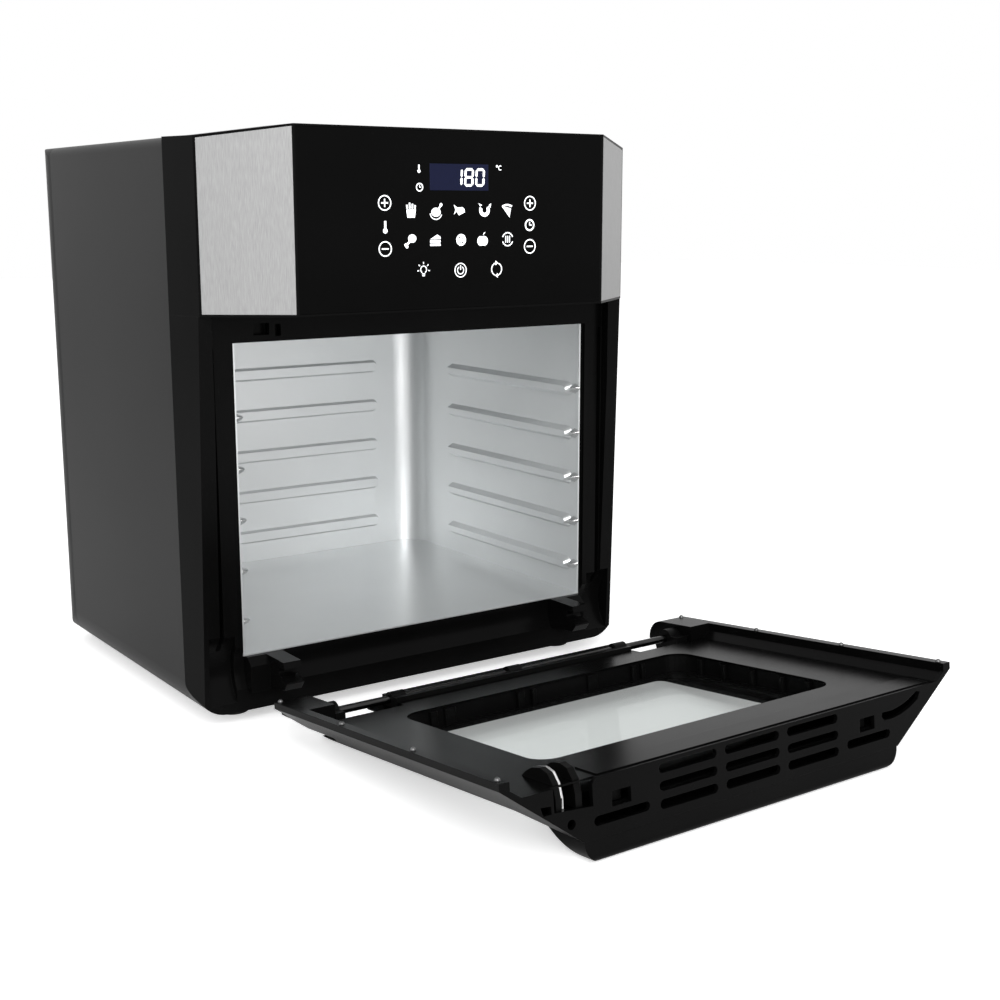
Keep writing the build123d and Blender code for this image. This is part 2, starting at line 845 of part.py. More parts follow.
with BuildPart() as door_shell:
    with BuildSketch(Plane.XY.offset(-ear_drop)):
        with BuildLine():
            Polyline(
                (0, door_front - flare),
                (flat_top_half, door_front - flare),
                (door_half, door_edge),
                (door_half, door_back),
                (0, door_back),
                close=True,
            )
        make_face()
        mirror(about=Plane.YZ)
    extrude(amount=door_top + ear_drop)
    with BuildSketch(side_plane(-door_half)) as flank:
        with BuildLine():
            Polyline(
                (door_back, door_top),
                (door_front - flare, door_top),
                (door_front, door_top - flare_height),
                (door_front, -shell_drop),
                (panel_level, -shell_drop),
                (panel_level, -ear_drop),
                (door_back, -ear_drop),
                close=True,
            )
        make_face()
        ear_corners = flank.vertices().filter_by_position(Axis.Y, -ear_drop - 1, -ear_drop + 1)
        fillet(ear_corners.sort_by(Axis.X)[-1], ear_round)
        shell_corners = flank.vertices().filter_by_position(Axis.Y, -shell_drop - 1, -shell_drop + 1)
        fillet(shell_corners.sort_by(Axis.X)[0], shell_round)
    extrude(amount=2 * door_half, mode=Mode.INTERSECT)
    # Hollow between the front wall and the inner panel, then the open tray above the panel
    with BuildSketch(Plane.XY.offset(-shell_drop + shell_round)):
        with BuildLine():
            Polyline(
                (0, door_front + door_wall),
                (slant_x(door_front + door_wall, wall_rise), door_front + door_wall),
                (slant_x(panel_level - sheet, wall_rise), panel_level - sheet),
                (0, panel_level - sheet),
                close=True,
            )
        make_face()
        mirror(about=Plane.YZ)
    extrude(amount=door_top + shell_drop - shell_round - door_wall, mode=Mode.SUBTRACT)
    with BuildSketch(side_plane(0)) as toe:
        with BuildLine():
            Polyline(
                (door_front + door_wall, -shell_drop + shell_round),
                (door_front + door_wall, -shell_drop + door_wall),
                (panel_level - sheet, -shell_drop + door_wall),
                (panel_level - sheet, -shell_drop + shell_round),
                close=True,
            )
        make_face()
        toe_corner = toe.vertices().sort_by(Axis.X)[:2].sort_by(Axis.Y)[0]
        fillet(toe_corner, shell_round - door_wall - 1)
    extrude(amount=door_flat_half - door_wall, both=True, mode=Mode.SUBTRACT)
    with BuildSketch(Plane.XY.offset(-ear_drop)):
        with BuildLine():
            Polyline(
                (0, panel_level - sheet),
                (ear_inner, panel_level - sheet),
                (ear_inner, door_back),
                (0, door_back),
                close=True,
            )
        make_face()
        mirror(about=Plane.YZ)
    extrude(amount=door_top + ear_drop - door_wall, mode=Mode.SUBTRACT)
    with BuildSketch(Plane.XY.offset(notch_radius)):
        with BuildLine():
            Polyline(
                (0, panel_level - sheet),
                (slant_x(panel_level - sheet, wall_rise), panel_level - sheet),
                (rim_inner, door_front + slant * (rim_inner - door_flat_half) + wall_rise),
                (rim_inner, door_back),
                (0, door_back),
                close=True,
            )
        make_face()
        mirror(about=Plane.YZ)
    extrude(amount=door_top - notch_radius - door_wall, mode=Mode.SUBTRACT)
    # The ears are narrower than the rims, so that they turn inside the oven's arms
    for side in (-1, 1):
        with Locations((side * (ear_outer + door_half) / 2, 0, (ear_split - ear_drop) / 2 - 1)):
            Box(door_half - ear_outer, 4 * ear_drop, ear_split + ear_drop + 2, mode=Mode.SUBTRACT)
    # The shell's front wall opens for the window pane
    with BuildSketch(front_plane(door_front)):
        with Locations((0, (window_top + window_bottom) / 2)):
            RectangleRounded(
                2 * (window_half - window_lip),
                window_top - window_bottom - 2 * window_lip,
                window_corner - window_lip,
            )
    extrude(amount=-2 * door_wall, mode=Mode.SUBTRACT)
    # Room for the brackets at both ends of the hinge bar
    for side in (-1, 1):
        with BuildSketch(side_plane(side * (notch_inner + ear_inner) / 2)):
            Circle(notch_radius)
            with Locations((0, -ear_drop / 2)):
                Rectangle(2 * notch_radius, ear_drop)
        extrude(amount=(ear_inner - notch_inner) / 2, both=True, mode=Mode.SUBTRACT)
    # Air slots in the door's top end
    with BuildSketch(Plane.XY.offset(door_top)):
        with Locations((0, vent_middle)):
            with GridLocations(vent_pitch, vent_row, 3, 3):
                SlotOverall(vent_length, vent_slot)
        for side in (-1, 1):
            with Locations((side * latch_window_x, vent_middle - vent_row)):
                SlotOverall(vent_length - 4, vent_slot)
            with Locations((side * latch_window_x, vent_middle + vent_row / 2)):
                Rectangle(13, 9)
        with BuildLine() as bent:
            bend = ThreePointArc(bend_start, bend_middle, bend_end)
        SlotArc(bend, vent_slot)
        with Locations((hook_x, 3)):
            Rectangle(hook_notch, 14)
        with Locations((hook_x - 18, 4)):
            Rectangle(6, 6)
    extrude(amount=-2 * door_wall, mode=Mode.SUBTRACT)
keep_door(door_shell, "door_shell")

# Inner panel: black sheet with the rounded window and tabs at its free end
panel_half = slant_x(panel_level - sheet, wall_rise) - fit
window_middle = (window_top + window_bottom) / 2
window_tall = window_top - window_bottom
with BuildPart() as door_inner_panel:
    with BuildSketch(front_plane(panel_level - sheet)):
        with Locations((0, (door_top - door_wall - shell_drop + door_wall) / 2)):
            Rectangle(2 * panel_half, door_top - door_wall + shell_drop - door_wall - fit)
        with Locations((0, window_middle)):
            RectangleRounded(2 * window_half, window_tall, window_corner, mode=Mode.SUBTRACT)
        for side in (-1, 1):
            with Locations((side * (notch_inner + panel_half) / 2, -ear_drop / 2)):
                Rectangle(
                    panel_half - notch_inner,
                    ear_drop + 2 * notch_radius,
                    mode=Mode.SUBTRACT,
                )
    extrude(amount=-sheet)
keep_door(door_inner_panel, "door_inner_panel")

# Window frame: wall round the pane, with ribs outside
frame_front = door_front + door_wall
frame_back = panel_level - sheet
with BuildPart() as door_window_frame:
    with BuildSketch(front_plane(frame_front)):
        with Locations((0, window_middle)):
            RectangleRounded(
                2 * (window_half + door_wall),
                window_tall + 2 * door_wall,
                window_corner + door_wall,
            )
            RectangleRounded(2 * window_half, window_tall, window_corner, mode=Mode.SUBTRACT)
    extrude(amount=-(frame_back - frame_front))
    with BuildSketch(front_plane(frame_front)):
        for row in (-1, 1):
            with Locations((0, window_middle + row * (window_tall / 2 + door_wall + 2.9))):
                with GridLocations(44, 1, 5, 1):
                    Rectangle(2, 6)
    extrude(amount=-(frame_back - frame_front))
    with BuildSketch(front_plane(frame_front + pane_thickness + fit)):
        with Locations((0, window_middle)):
            with GridLocations(56, window_tall - 4, 3, 2):
                Rectangle(8, 4.2)
            with GridLocations(2 * window_half - 4, 60, 2, 2):
                Rectangle(4.2, 8)
    extrude(amount=-(frame_back - frame_front - pane_thickness - 1.5))
keep_door(door_window_frame, "door_window_frame")

with BuildPart() as door_glass:
    with BuildSketch(front_plane(frame_front)):
        with Locations((0, window_middle)):
            RectangleRounded(2 * (window_half - fit), window_tall - 2 * fit, window_corner - fit)
    extrude(amount=-pane_thickness)
keep_door(door_glass, "door_glass")

# Handle: a moulded grip across the door's top, hollowed below for the fingers
handle_front = door_front - flare - handle_reach
handle_root = door_front - flare
grip_gap = 0.6
grip_edge = 9.0
grip_round = 4.0
grip_low = door_top - handle_height
with BuildPart() as door_handle:
    with BuildSketch(side_plane(-handle_half)) as grip:
        with BuildLine():
            Polyline(
                (handle_root, door_top - grip_gap),
                (handle_front, door_top - grip_gap),
                (handle_front, door_top - grip_edge),
                (handle_root + 1, grip_low),
                (handle_root + flare * (handle_height - 1) / flare_height, grip_low),
                close=True,
            )
        make_face()
        front_corners = grip.vertices().sort_by(Axis.X)[:2]
        fillet(front_corners.sort_by(Axis.Y)[-1], grip_round)
    extrude(amount=2 * handle_half)
    with BuildSketch(Plane.XY.offset(grip_low)) as grip_plan:
        with Locations((0, handle_root - handle_reach / 2 + flare / 2)):
            Rectangle(2 * handle_half, handle_reach + flare)
        fillet(grip_plan.vertices().group_by(Axis.Y)[0], handle_reach - 1)
    extrude(amount=handle_height, mode=Mode.INTERSECT)
    with BuildSketch(side_plane(-door_half)):
        with BuildLine():
            Polyline(
                (0, door_top + 1),
                (door_front - flare - flare / flare_height, door_top + 1),
                (door_front, door_top - flare_height),
                (0, door_top - flare_height),
                close=True,
            )
        make_face()
    extrude(amount=2 * door_half, mode=Mode.SUBTRACT)
    with BuildSketch(side_plane(0)):
        with Locations((handle_root - 5, grip_low + 1)):
            Circle(7)
    extrude(amount=handle_half - 18, both=True, mode=Mode.SUBTRACT)
keep_door(door_handle, "door_handle")

# Hinge bar: a channel that carries the rod, with three closed knuckles and two end lugs
bar_half = notch_inner
bar_round = 6.5
channel = rod_radius + fit
with BuildPart() as door_hinge_bar:
    with BuildSketch(side_plane(-bar_half)):
        with Locations((panel_level / 2 + 1, 0)):
            Rectangle(-panel_level + 2, 2 * bar_round + 4)
        Circle(channel, mode=Mode.SUBTRACT)
        with Locations((3, 0)):
            Rectangle(6, 2 * channel, mode=Mode.SUBTRACT)
    extrude(amount=2 * bar_half)
    for middle in (-bar_half + 5, 0, bar_half - 5):
        with BuildSketch(side_plane(middle)):
            with Locations((panel_level / 2, 0)):
                Rectangle(-panel_level, -2 * panel_level)
            Circle(-panel_level)
        extrude(amount=5, both=True)
    with Locations((0, 0, 0)):
        Cylinder(rod_radius + rod_fit, 2 * bar_half + 2, rotation=(0, 90, 0), mode=Mode.SUBTRACT)
keep_door(door_hinge_bar, "door_hinge_bar")

lug_width = ear_inner - bracket_outer
for name, side in (("hinge_lug_left", -1), ("hinge_lug_right", 1)):
    with BuildPart() as lug:
        with BuildSketch(side_plane(side * (ear_inner - lug_width / 2))):
            Circle(bar_round)
            with Locations((panel_level / 2 + 1, bar_round)):
                Rectangle(-panel_level + 2, 2 * bar_round)
            Circle(rod_radius + rod_fit, mode=Mode.SUBTRACT)
        extrude(amount=lug_width / 2, both=True)
    keep_door(lug, name)

# Hooks that enter the front frame when the door shuts
with BuildPart() as latch_hooks:
    for step in (-1, 1):
        with BuildSketch(side_plane(hook_x + 6 * step)):
            with BuildLine():
                Polyline(
                    (panel_level, door_top - 30),
                    (door_back, door_top - 22),
                    (door_back + 4, door_top - 10),
                    (door_back + 1, door_top - 4),
                    (door_back - 4, door_top - 9),
                    (panel_level, door_top - 12),
                    close=True,
                )
            make_face()
        extrude(amount=1.6, both=True)
keep_door(latch_hooks, "latch_hooks")

# Small tabs along both rims
tab_pitch = 75.7
tab_first = -14.0
tab_radius = 1.6
with BuildPart() as door_screws:
    for side in (-1, 1):
        for step in range(4):
            with Locations((side * (door_half - 2 * tab_radius), door_back, tab_first + tab_pitch * step)):
                Sphere(tab_radius)
    with Locations((0, door_back + tab_radius / 2 - tab_radius, 0)):
        Box(3 * door_half, tab_radius, 3 * door_top, mode=Mode.SUBTRACT)
keep_door(door_screws, "door_screws")

# The rod that the door turns on
rod_pieces = {}
with BuildPart() as hinge_rod:
    with Locations((0, 0, 0)):
        Cylinder(rod_radius, 2 * rod_half, rotation=(0, 90, 0))
hinge_rod.part.label = "hinge_rod"
rod_pieces["hinge_rod"] = hinge_rod.part

# The door lies on the edge of its grip and on the round of its lower end.
# Both touch the table at one tilt, and the rod's height follows from it.
grip_rise = door_top - grip_edge
round_y = door_front + shell_round
round_z = -shell_drop + shell_round
run = round_y - handle_front
rise = grip_rise - round_z
tilt = acos(shell_round / hypot(run, rise)) - atan2(rise, run)
lie_z = shell_round - round_y * cos(tilt) - round_z * sin(tilt)
lying = Location((lie_x, lie_y, lie_z), (90 - degrees(tilt), 0, 0))
for name, piece in door_pieces.items():
    pieces[name] = lying * piece
for name, piece in rod_pieces.items():
    pieces[name] = lying * piece

# The shared frame's origin is below the middle of everything, on the table
everything = Compound(children=[Compound([piece]) for piece in pieces.values()]).bounding_box()
shift = Location((-everything.center().X, -everything.center().Y, 0))
print("oven frame sits at", tuple(round(value, 4) for value in shift.position))
print("door tilt", round(degrees(tilt), 4), "rod rests at", lie_x, lie_y, round(lie_z, 4))

os.makedirs("parts", exist_ok=True)
for name, piece in pieces.items():
    placed = shift * piece
    placed.label = name
    export_step(placed, f"parts/{name}.step")
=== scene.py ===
import json
import math

import bmesh
import bpy
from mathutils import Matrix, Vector
from mathutils.geometry import tessellate_polygon


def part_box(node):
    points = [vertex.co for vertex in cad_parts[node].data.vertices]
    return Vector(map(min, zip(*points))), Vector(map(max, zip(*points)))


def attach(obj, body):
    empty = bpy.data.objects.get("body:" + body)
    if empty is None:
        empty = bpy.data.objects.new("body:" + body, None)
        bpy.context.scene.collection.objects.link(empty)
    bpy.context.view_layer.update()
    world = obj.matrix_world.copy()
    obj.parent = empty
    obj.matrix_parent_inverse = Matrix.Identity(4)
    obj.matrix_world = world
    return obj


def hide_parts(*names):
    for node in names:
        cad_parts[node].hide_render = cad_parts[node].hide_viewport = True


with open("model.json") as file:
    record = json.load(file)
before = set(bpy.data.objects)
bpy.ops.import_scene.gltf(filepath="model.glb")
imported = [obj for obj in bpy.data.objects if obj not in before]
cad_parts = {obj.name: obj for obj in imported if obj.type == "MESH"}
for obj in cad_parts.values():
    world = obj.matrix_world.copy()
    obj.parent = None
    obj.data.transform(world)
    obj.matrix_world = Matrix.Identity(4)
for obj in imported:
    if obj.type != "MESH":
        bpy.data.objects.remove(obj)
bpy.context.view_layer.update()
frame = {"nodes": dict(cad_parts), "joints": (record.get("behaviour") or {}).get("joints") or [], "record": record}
nodes = frame["nodes"]
joints = {joint["name"]: joint for joint in frame["joints"]}

# Places in the oven's own frame: millimetres from the middle of the touch glass's front, on the table
glass_low, glass_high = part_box("touch_glass")
oven_x = (glass_low.x + glass_high.x) / 2
oven_y = glass_low.y
MM = 0.001


def oven(x, y, z):
    """A point in the oven's own frame, in the shared frame and metres."""
    return Vector((oven_x + x * MM, oven_y + y * MM, z * MM))


# Places in the door's frame: from the hinge rod, x across, y to its inner side, z to its grip
door_axis = Vector(joints["door_hinge"]["pos_m"])
door_tilt = math.radians(90 - joints["door_hinge"]["range_deg"][1])


def door(x, y, z):
    """A point in the door's frame, as the door lies at rest."""
    across = x * MM
    along = y * math.sin(door_tilt) * MM - z * math.cos(door_tilt) * MM
    up = y * math.cos(door_tilt) * MM + z * math.sin(door_tilt) * MM
    return door_axis + Vector((across, along, up))


# Materials, all from nodes


class Finish:
    """A node material built step by step around one Principled shader."""

    def __init__(self, name):
        self.material = bpy.data.materials.new(name)
        self.material.use_nodes = True
        self.tree = self.material.node_tree
        self.tree.nodes.clear()
        self.out = self.add("ShaderNodeOutputMaterial")
        self.shader = self.add("ShaderNodeBsdfPrincipled")
        self.link(self.shader, "BSDF", self.out, "Surface")
        self.place = self.add("ShaderNodeTexCoord")

    def add(self, kind):
        return self.tree.nodes.new(kind)

    def link(self, source, output, target, entry):
        self.tree.links.new(source.outputs[output], target.inputs[entry])

    def set(self, **values):
        for label, value in values.items():
            self.shader.inputs[label.replace("_", " ")].default_value = value
        return self

    def noise(self, scale, detail=4.0, stretch=(1, 1, 1)):
        """A noise of that many cells a metre, stretched along the axes."""
        mapping = self.add("ShaderNodeMapping")
        mapping.inputs["Scale"].default_value = stretch
        self.link(self.place, "Object", mapping, "Vector")
        noise = self.add("ShaderNodeTexNoise")
        noise.inputs["Scale"].default_value = scale
        noise.inputs["Detail"].default_value = detail
        self.link(mapping, "Vector", noise, "Vector")
        return noise

    def colours(self, noise, dark, light, low=0.3, high=0.7):
        ramp = self.add("ShaderNodeValToRGB")
        ramp.color_ramp.elements[0].position = low
        ramp.color_ramp.elements[0].color = (*dark, 1)
        ramp.color_ramp.elements[1].position = high
        ramp.color_ramp.elements[1].color = (*light, 1)
        self.link(noise, "Fac", ramp, "Fac")
        self.link(ramp, "Color", self.shader, "Base Color")
        return self

    def roughness(self, noise, low, high):
        spread = self.add("ShaderNodeMapRange")
        spread.inputs["To Min"].default_value = low
        spread.inputs["To Max"].default_value = high
        self.link(noise, "Fac", spread, "Value")
        self.link(spread, "Result", self.shader, "Roughness")
        return self

    def bump(self, noise, height, edge=0.0004):
        """Grain from a noise, over edges softened by a small bevel."""
        bevel = self.add("ShaderNodeBevel")
        bevel.inputs["Radius"].default_value = edge
        bump = self.add("ShaderNodeBump")
        bump.inputs["Strength"].default_value = 1.0
        bump.inputs["Distance"].default_value = height
        self.link(bevel, "Normal", bump, "Normal")
        self.link(noise, "Fac", bump, "Height")
        self.link(bump, "Normal", self.shader, "Normal")
        return self


def grey(level):
    return (level, level, level)


def painted_case():
    made = Finish("painted_case").set(Metallic=0.0, Specular_IOR_Level=0.09)
    grain = made.noise(2600, 2)
    made.colours(grain, grey(0.006), grey(0.010))
    made.roughness(made.noise(9), 0.34, 0.4)
    return made.bump(grain, 0.00003)


def moulding(name, dark, light, low, high, specular, grain_height):
    made = Finish(name).set(Specular_IOR_Level=specular)
    made.colours(made.noise(14), dark, light)
    return made.roughness(made.noise(30), low, high).bump(made.noise(1800, 2), grain_height)


def brushed(name, dark, light, low, high, stretch, scale, metallic=1.0):
    made = Finish(name).set(Metallic=metallic)
    lines = made.noise(scale, 6, stretch)
    made.colours(lines, dark, light, 0.35, 0.65)
    return made.roughness(lines, low, high).bump(lines, 0.00001)


def clear_glass():
    """Thin glass: light passes straight through, and a little is reflected."""
    made = Finish("window_glass").set(Specular_IOR_Level=0.3)
    made.colours(made.noise(5), grey(0.02), grey(0.03)).roughness(made.noise(40), 0.03, 0.06)
    through = made.add("ShaderNodeBsdfTransparent")
    through.inputs["Color"].default_value = (0.9, 0.915, 0.91, 1)
    blend = made.add("ShaderNodeMixShader")
    facing = made.add("ShaderNodeLayerWeight")
    facing.inputs["Blend"].default_value = 0.08
    made.link(facing, "Facing", blend, "Fac")
    made.tree.links.new(through.outputs[0], blend.inputs[1])
    made.tree.links.new(made.shader.outputs[0], blend.inputs[2])
    made.tree.links.new(blend.outputs[0], made.out.inputs["Surface"])
    return made


def glowing(name, colour, strength):
    made = Finish(name).set(Emission_Strength=strength, Roughness=0.4)
    made.shader.inputs["Emission Color"].default_value = (*colour, 1)
    return made.colours(made.noise(900), colour, tuple(min(1, 1.05 * c) for c in colour))


even = (1, 1, 1)
along_x = (1, 20, 20)
upright = (30, 30, 1)
liner_dark = (0.735, 0.75, 0.754)
liner_light = (0.795, 0.81, 0.814)
base_dark = (0.65, 0.665, 0.668)
base_light = (0.7, 0.715, 0.718)
display_dark = (0.003, 0.005, 0.022)
display_light = (0.004, 0.006, 0.028)
board_dark = (0.01, 0.07, 0.03)
board_light = (0.015, 0.1, 0.04)
element_dark = (0.08, 0.07, 0.06)
element_light = (0.12, 0.1, 0.09)

finishes = {
    "painted_case": painted_case(),
    "black_moulding": moulding("black_moulding", grey(0.002), grey(0.0035), 0.32, 0.4, 0.055, 0.00002),
    "gloss_moulding": moulding("gloss_moulding", grey(0.0018), grey(0.0028), 0.2, 0.28, 0.05, 0.000006),
    "dark_glass": moulding("dark_glass", grey(0.0022), grey(0.0026), 0.08, 0.12, 0.03, 0.0),
    "display": moulding("display", display_dark, display_light, 0.15, 0.2, 0.15, 0.0),
    "brushed_panel": brushed("brushed_panel", grey(0.32), grey(0.41), 0.36, 0.46, upright, 160),
    "liner_steel": brushed("liner_steel", liner_dark, liner_light, 0.3, 0.38, even, 7, 0.72),
    "bright_steel": brushed("bright_steel", grey(0.72), grey(0.85), 0.12, 0.22, along_x, 80),
    "board": moulding("board", board_dark, board_light, 0.4, 0.5, 0.4, 0.00002),
    "rubber_foot": moulding("rubber_foot", grey(0.01), grey(0.016), 0.7, 0.85, 0.3, 0.00003),
    "window_glass": clear_glass(),
    "door_sheet": moulding("door_sheet", grey(0.001), grey(0.0018), 0.2, 0.26, 0.055, 0.000004),
    "fan_metal": brushed("fan_metal", grey(0.6), grey(0.7), 0.3, 0.4, even, 200),
    "motor_steel": brushed("motor_steel", grey(0.3), grey(0.4), 0.4, 0.5, even, 200),
    "element_metal": moulding("element_metal", element_dark, element_light, 0.5, 0.6, 0.4, 0.00003),
}
rod_steel = brushed("rod_steel", grey(0.035), grey(0.06), 0.2, 0.3, along_x, 80).material
tab_steel = brushed("tab_steel", grey(0.12), grey(0.2), 0.25, 0.35, even, 200).material
liner_base = brushed("liner_base", base_dark, base_light, 0.3, 0.38, even, 7, 0.72).material
white_print = glowing("white_print", (0.92, 0.94, 0.96), 0.9).material

for entry in frame["record"]["subparts"]:
    node = nodes[entry["node"]]
    node.data.materials.clear()
    node.data.materials.append(finishes[entry["material_slot"]].material)
darker = {"hinge_rod": rod_steel, "door_screws": tab_steel, "cavity_floor": liner_base}
for name, material in darker.items():
    nodes[name].data.materials[0] = material

# Pieces of the scene


def place(name, data, material, body):
    """An object of that mesh, which moves with the body."""
    made = bpy.data.objects.new(name, data)
    bpy.context.scene.collection.objects.link(made)
    data.materials.append(material)
    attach(made, body)
    return made


# Panel signs: flat shapes on the touch glass, drawn in millimetres


def ring_points(x, z, radius, steps=28, start=0.0, turn=360.0, squeeze=1.0):
    stop = steps if turn < 360 else steps - 1
    angles = [math.radians(start + turn * step / steps) for step in range(stop + 1)]
    return [(x + radius * math.cos(a), z + squeeze * radius * math.sin(a)) for a in angles]


def disc(x, z, radius, squeeze=1.0):
    return [ring_points(x, z, radius, squeeze=squeeze)]


def ring(x, z, outer, inner):
    return [ring_points(x, z, outer), ring_points(x, z, inner)[::-1]]


def arc(x, z, outer, inner, start, turn):
    far = ring_points(x, z, outer, 20, start, turn)
    near = ring_points(x, z, inner, 20, start, turn)
    return [far + near[::-1]]


def bar(x0, z0, x1, z1, width):
    along = Vector((x1 - x0, z1 - z0)).normalized()
    side = Vector((-along.y, along.x)) * width / 2
    ends = ((x0, z0, 1), (x0, z0, -1), (x1, z1, -1), (x1, z1, 1))
    return [[(x + way * side.x, z + way * side.y) for x, z, way in ends]]


def shape(*points):
    return [list(points)]


sign_lift = 0.12


def sign(name, x, z, *shapes, scale=1.0):
    """Flat shapes, each a list of loops, set on the touch glass round (x, z)."""
    points = []
    faces = []
    for loops in shapes:
        first = len(points)
        flat = [[Vector((px, pz, 0)) for px, pz in loop] for loop in loops]
        points += [oven(x + scale * p.x, -sign_lift, z + scale * p.y) for loop in flat for p in loop]
        faces += [tuple(first + index for index in face) for face in tessellate_polygon(flat)]
    data = bpy.data.meshes.new(name)
    data.from_pydata([tuple(point) for point in points], [], faces)
    data.validate()
    data.update()
    return place(name, data, white_print, "oven")


# Seven-segment digits of the display
digit_width = 5.4
digit_height = 9.6
digit_lean = 0.6
digit_start = -4.2
digit_pitch = 8.2
segment = 1.5
segments = {
    "top": ((0, 1), (1, 1)),
    "middle": ((0, 0.5), (1, 0.5)),
    "foot": ((0, 0), (1, 0)),
    "high_left": ((0, 0.5), (0, 1)),
    "high_right": ((1, 0.5), (1, 1)),
    "low_left": ((0, 0), (0, 0.5)),
    "low_right": ((1, 0), (1, 0.5)),
}
lit = {
    "1": ("high_right", "low_right"),
    "8": tuple(segments),
    "0": ("top", "foot", "high_left", "high_right", "low_left", "low_right"),
}


def digit_strokes(figure):
    strokes = []
    for name in lit[figure]:
        (ax, az), (bx, bz) = segments[name]
        start = Vector((ax * digit_width + az * digit_lean, az * digit_height))
        end = Vector((bx * digit_width + bz * digit_lean, bz * digit_height))
        step = (end - start).normalized() * segment * 0.56
        start += step
        end -= step
        side = Vector((-step.y, step.x)).normalized() * segment / 2
        tip = step.normalized() * segment / 2
        points = (start - tip, start + side, end + side, end + tip, end - side, start - side)
        strokes.append([[(p.x, p.y) for p in points]])
    return strokes


display_low, display_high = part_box("display_module")
display_z = (display_low.z + display_high.z) / 2 / MM
digit_foot = display_z - digit_height / 2
for number, figure in enumerate("180"):
    sign("digit_%d" % number, digit_start + number * digit_pitch, digit_foot, *digit_strokes(figure))

# Small signs beside the display


def thermometer(name, x, z, size):
    sign(name, x, z, disc(0, -2.2, 1.3), bar(0, -2, 0, 2.6, 1.2), scale=size)


def clock(name, x, z, size):
    sign(name, x, z, ring(0, 0, 3, 2.2), bar(0, 0, 0, 1.6, 0.6), bar(0, 0, 1.3, 0, 0.6), scale=size)


thermometer("sign_heat_small", -29.3, 341.8, 0.8)
clock("sign_time_small", -29, 330.6, 0.85)
sign("sign_degree", 29.9, 342.8, ring(-1.9, 1, 0.75, 0.35), arc(0.6, 0, 1.5, 1.0, 50, 260))

# Plus and minus keys at both sides
key_x = 53.6
more_z = 321.3
less_z = 294.3
key_ring = ring(0, 0, 4.6, 3.9)
level_bar = bar(-2.4, 0, 2.4, 0, 0.8)
upright_bar = bar(0, -2.4, 0, 2.4, 0.8)
for side, kind in ((-1, "heat"), (1, "time")):
    sign("sign_more_" + kind, side * key_x, more_z, key_ring, level_bar, upright_bar)
    sign("sign_less_" + kind, side * key_x, less_z, key_ring, level_bar)
thermometer("sign_heat", -53.4, 307.6, 1.2)
clock("sign_time", 53.4, 307.7, 1.25)

# Food signs in two rows
row_high = 317
row_low = 299
fry_tops = ((-2.6, 3.2), (-0.9, 4.4), (0.9, 3.8), (2.6, 3.0))
sign(
    "sign_fries", -35.2, row_high,
    shape((-3.4, 0.4), (3.4, 0.4), (2.6, -4.4), (-2.6, -4.4)),
    *[bar(x, 0.9, x * 1.15, top, 1.1) for x, top in fry_tops],
)
sign(
    "sign_roast", -17, row_high,
    disc(-0.4, -1.2, 3.4, 0.8),
    bar(1.6, 0.8, 3.2, 3, 1.2),
    disc(3.3, 3.3, 1.0),
    arc(-0.4, -1.2, 4.6, 4.0, 190, 150),
)
sign(
    "sign_fish", 0.6, row_high,
    arc(-1.2, -3.2, 4.9, 0.2, 25, 100),
    shape((-1.0, 0.6), (-5.0, 3.4), (-3.8, 0.2), (-5.0, -2.6)),
    disc(0.6, 0.0, 2.4, 0.75),
)
sign(
    "sign_shrimp", 18.5, row_high,
    arc(0, 0, 4.0, 1.7, 150, 250),
    shape((3.1, 3.0), (5.0, 4.2), (4.6, 1.4)),
    shape((-3.2, 2.2), (-4.6, 4.2), (-1.8, 3.2)),
)
sign(
    "sign_pizza", 36.1, row_high,
    shape((-4.2, 2.2), (2.6, 1.2), (1.6, -4.6)),
    arc(-0.2, -4.4, 8.2, 7.0, 62, 58),
)
sign(
    "sign_leg", -35.8, row_low,
    disc(1.2, 1.2, 2.9, 0.85),
    bar(0, 0, -3.0, -2.8, 1.4),
    disc(-3.4, -2.6, 1.0),
    disc(-2.6, -3.6, 1.0),
)
sign(
    "sign_cake", -17.8, row_low,
    shape((-4, 0.6), (3.6, 0.6), (3.6, 2.0), (1.2, 3.4)),
    shape((-4, 0), (3.6, 0), (3.6, -1.4), (-4, -1.4)),
    shape((-4, -2.0), (3.6, -2.0), (3.6, -3.4), (-4, -3.4)),
)
crumbs = ((-1.2, 1.3), (1.4, 0.8), (-0.6, -1.3), (1.1, -1.6))
biscuit = [ring_points(0, 0, 3.6)] + [ring_points(x, z, 0.55, 10)[::-1] for x, z in crumbs]
sign("sign_biscuit", 0.9, row_low, biscuit)
sign(
    "sign_apple", 17, row_low,
    disc(-1.3, -0.8, 2.7, 1.1),
    disc(1.3, -0.8, 2.7, 1.1),
    shape((0.2, 2.2), (2.2, 4.6), (1.0, 4.4)),
)
sign(
    "sign_reheat", 36.2, row_low,
    arc(0, 0, 4.4, 3.7, 20, 140),
    arc(0, 0, 4.4, 3.7, 200, 140),
    *[bar(x, -2.1, x, 2.1, 0.7) for x in (-1.5, 0, 1.5)],
)

# Key signs in the bottom row
row_keys = 280.5


def ray(turn):
    """A short stroke round the lamp sign's bulb."""
    across = math.cos(math.radians(turn))
    up = math.sin(math.radians(turn))
    return bar(3.3 * across, 1 + 3.3 * up, 4.6 * across, 1 + 4.6 * up, 0.6)


